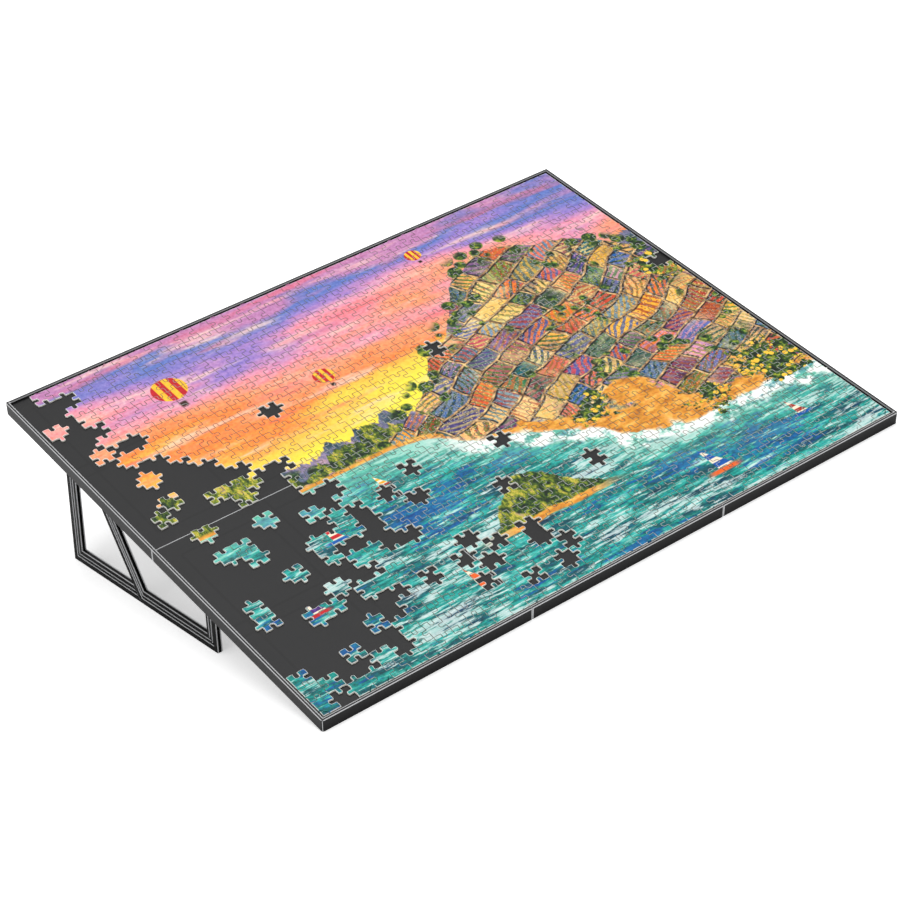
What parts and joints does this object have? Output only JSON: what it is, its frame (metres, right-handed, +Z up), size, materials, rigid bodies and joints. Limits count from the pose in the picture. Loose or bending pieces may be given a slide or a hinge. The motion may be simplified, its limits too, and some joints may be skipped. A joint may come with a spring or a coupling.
{
  "type": "jigsaw puzzle carrier board",
  "caption": "Jigsaw carrier: trays lock edge to edge into one rimmed board, tilted back on fold-away side legs, with a part-built jigsaw on its deck.",
  "frame": {"origin": "centre of the part's footprint, on the floor that its front edge and its legs stand on", "axes": "+X to the right along the board's front edge, +Y from the front edge to the back, +Z up; the board rises to the back at 16.1 degrees"},
  "size_m": [0.762, 0.59, 0.1834],
  "materials": {
    "tray_plastic": "charcoal moulded plastic with a fine satin grain",
    "leg_plastic": "black moulded plastic, satin",
    "steel": "plain drawn steel rod",
    "jigsaw_card": "printed and die-cut board with a linen-embossed gloss face"
  },
  "bodies": {
    "front_left": {"tray_front_left": "tray_plastic", "jigsaw_front_left": "jigsaw_card", "loose_pieces_front": "jigsaw_card"},
    "front_centre": {"tray_front_centre": "tray_plastic", "jigsaw_front_centre": "jigsaw_card"},
    "front_right": {"tray_front_right": "tray_plastic", "jigsaw_front_right": "jigsaw_card"},
    "rear_left": {"tray_rear_left": "tray_plastic", "jigsaw_rear_left": "jigsaw_card", "loose_pieces_rear": "jigsaw_card"},
    "rear_centre": {"tray_rear_centre": "tray_plastic", "jigsaw_rear_centre": "jigsaw_card"},
    "rear_right": {"tray_rear_right": "tray_plastic", "jigsaw_rear_right": "jigsaw_card"},
    "leg_left": {"leg_front_frame_left": "leg_plastic", "leg_rear_frame_left": "leg_plastic", "hinge_rod_left": "steel", "leg_dowel_left": "steel"},
    "leg_right": {"leg_front_frame_right": "leg_plastic", "leg_rear_frame_right": "leg_plastic", "hinge_rod_right": "steel", "leg_dowel_right": "steel"}
  },
  "joints": [
    {"name": "left_column_slide", "type": "slide", "parent": "front_centre", "child": "front_left", "axis": [-1, 0, 0], "range_m": [0, 0.06]},
    {"name": "right_column_slide", "type": "slide", "parent": "front_centre", "child": "front_right", "axis": [1, 0, 0], "range_m": [0, 0.06]},
    {"name": "rear_row_slide", "type": "slide", "parent": "front_centre", "child": "rear_centre", "axis": [0, 0.9608, 0.2773], "range_m": [0, 0.08]},
    {"name": "rear_left_slide", "type": "slide", "parent": "front_left", "child": "rear_left", "axis": [0, 0.9608, 0.2773], "range_m": [0, 0.08]},
    {"name": "rear_right_slide", "type": "slide", "parent": "front_right", "child": "rear_right", "axis": [0, 0.9608, 0.2773], "range_m": [0, 0.08]},
    {"name": "left_leg_fold", "type": "hinge", "parent": "rear_left", "child": "leg_left", "pos_m": [-0.3694, 0.0923, 0.11458], "axis": [0, -0.9608, -0.2773], "range_deg": [0, 90]},
    {"name": "right_leg_fold", "type": "hinge", "parent": "rear_right", "child": "leg_right", "pos_m": [0.3694, 0.0923, 0.11458], "axis": [0, 0.9608, 0.2773], "range_deg": [0, 90]}
  ],
  "couplings": [
    {"joint": "rear_left_slide", "follows": "rear_row_slide", "ratio": 1},
    {"joint": "rear_right_slide", "follows": "rear_row_slide", "ratio": 1}
  ]
}
